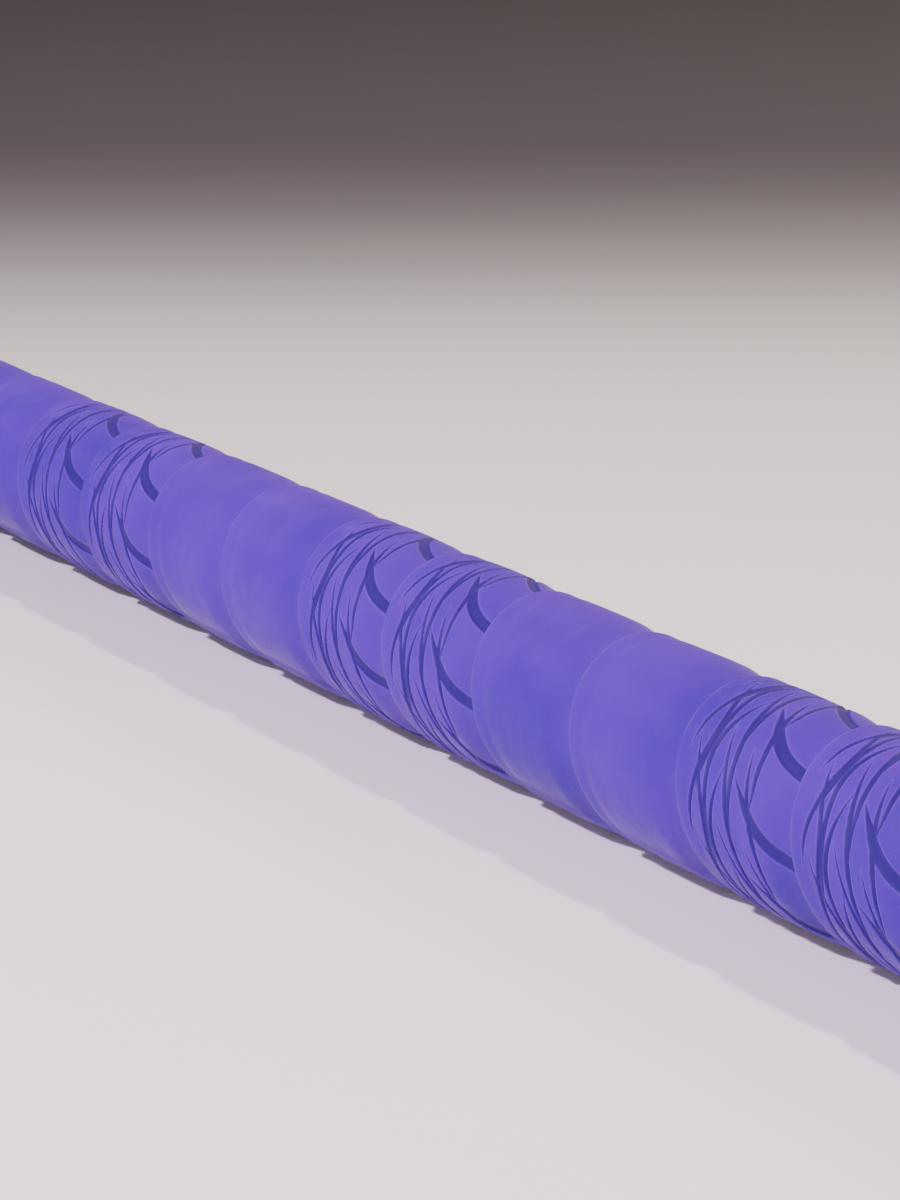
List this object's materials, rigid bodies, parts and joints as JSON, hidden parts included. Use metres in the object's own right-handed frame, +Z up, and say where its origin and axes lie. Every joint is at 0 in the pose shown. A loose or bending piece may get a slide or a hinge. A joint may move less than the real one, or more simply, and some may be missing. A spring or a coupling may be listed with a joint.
{
  "type": "rhythmic gymnastics ribbon wand",
  "caption": "Straight fibreglass ribbon wand with a spiral-wound overgrip, a rubber butt cap and a ball-bearing swivel tip with ring and snap hook.",
  "frame": {"origin": "middle of the wand's length, on the surface that it lies on", "axes": "+X along the wand from butt cap to snap hook, +Z up, with the hook lying flat and its gate towards -Y"},
  "size_m": [0.5744, 0.0122, 0.0122],
  "materials": {
    "fibreglass": "clear gloss over pale glass-fibre rod",
    "overgrip": "satin polyurethane tape, purple, dry-tacky, with pressed grooves",
    "finishing_band": "thin stretched vinyl tape, satin",
    "butt_rubber": "matte moulded rubber",
    "plated_metal": "bright nickel plate, lightly brushed",
    "steel": "bright stainless steel",
    "nylon": "natural moulded nylon"
  },
  "bodies": {
    "stick": {"stick_tube": "fibreglass", "grip_wrap": "overgrip", "finishing_tape": "finishing_band", "butt_cap": "butt_rubber", "tip_ferrule": "plated_metal", "tip_plug": "nylon", "ferrule_pin": "steel", "thrust_washer": "steel"},
    "balls": {"bearing_ball_1": "steel", "bearing_ball_2": "steel", "bearing_ball_3": "steel", "bearing_ball_4": "steel", "bearing_ball_5": "steel", "bearing_ball_6": "steel"},
    "swivel": {"spindle": "steel"},
    "ring": {"connector_ring": "steel"},
    "hook": {"hook_body": "plated_metal", "gate_rivet": "steel"},
    "gate": {"hook_gate": "plated_metal", "gate_plunger": "steel", "gate_spring": "steel"}
  },
  "joints": [
    {"name": "spindle_spin", "type": "hinge", "parent": "stick", "child": "swivel", "pos_m": [0.2381, 0, 0.0061], "axis": [1, 0, 0], "continuous": true},
    {"name": "ball_orbit", "type": "hinge", "parent": "stick", "child": "balls", "pos_m": [0.2415, 0, 0.0061], "axis": [1, 0, 0], "continuous": true},
    {"name": "ring_pivot", "type": "hinge", "parent": "swivel", "child": "ring", "pos_m": [0.2512, 0, 0.0061], "axis": [0, 0, 1], "range_deg": [-80, 80]},
    {"name": "hook_pivot", "type": "hinge", "parent": "ring", "child": "hook", "pos_m": [0.2596, 0, 0.0061], "axis": [0, 0, 1], "range_deg": [-70, 70]},
    {"name": "gate_hinge", "type": "hinge", "parent": "hook", "child": "gate", "pos_m": [0.2698, -0.0044, 0.0061], "axis": [0, 0, 1], "range_deg": [0, 25], "stiffness_Nm_per_rad": 0.004, "springref_deg": -20.05}
  ],
  "couplings": [
    {"joint": "ball_orbit", "follows": "spindle_spin", "ratio": 0.5}
  ]
}
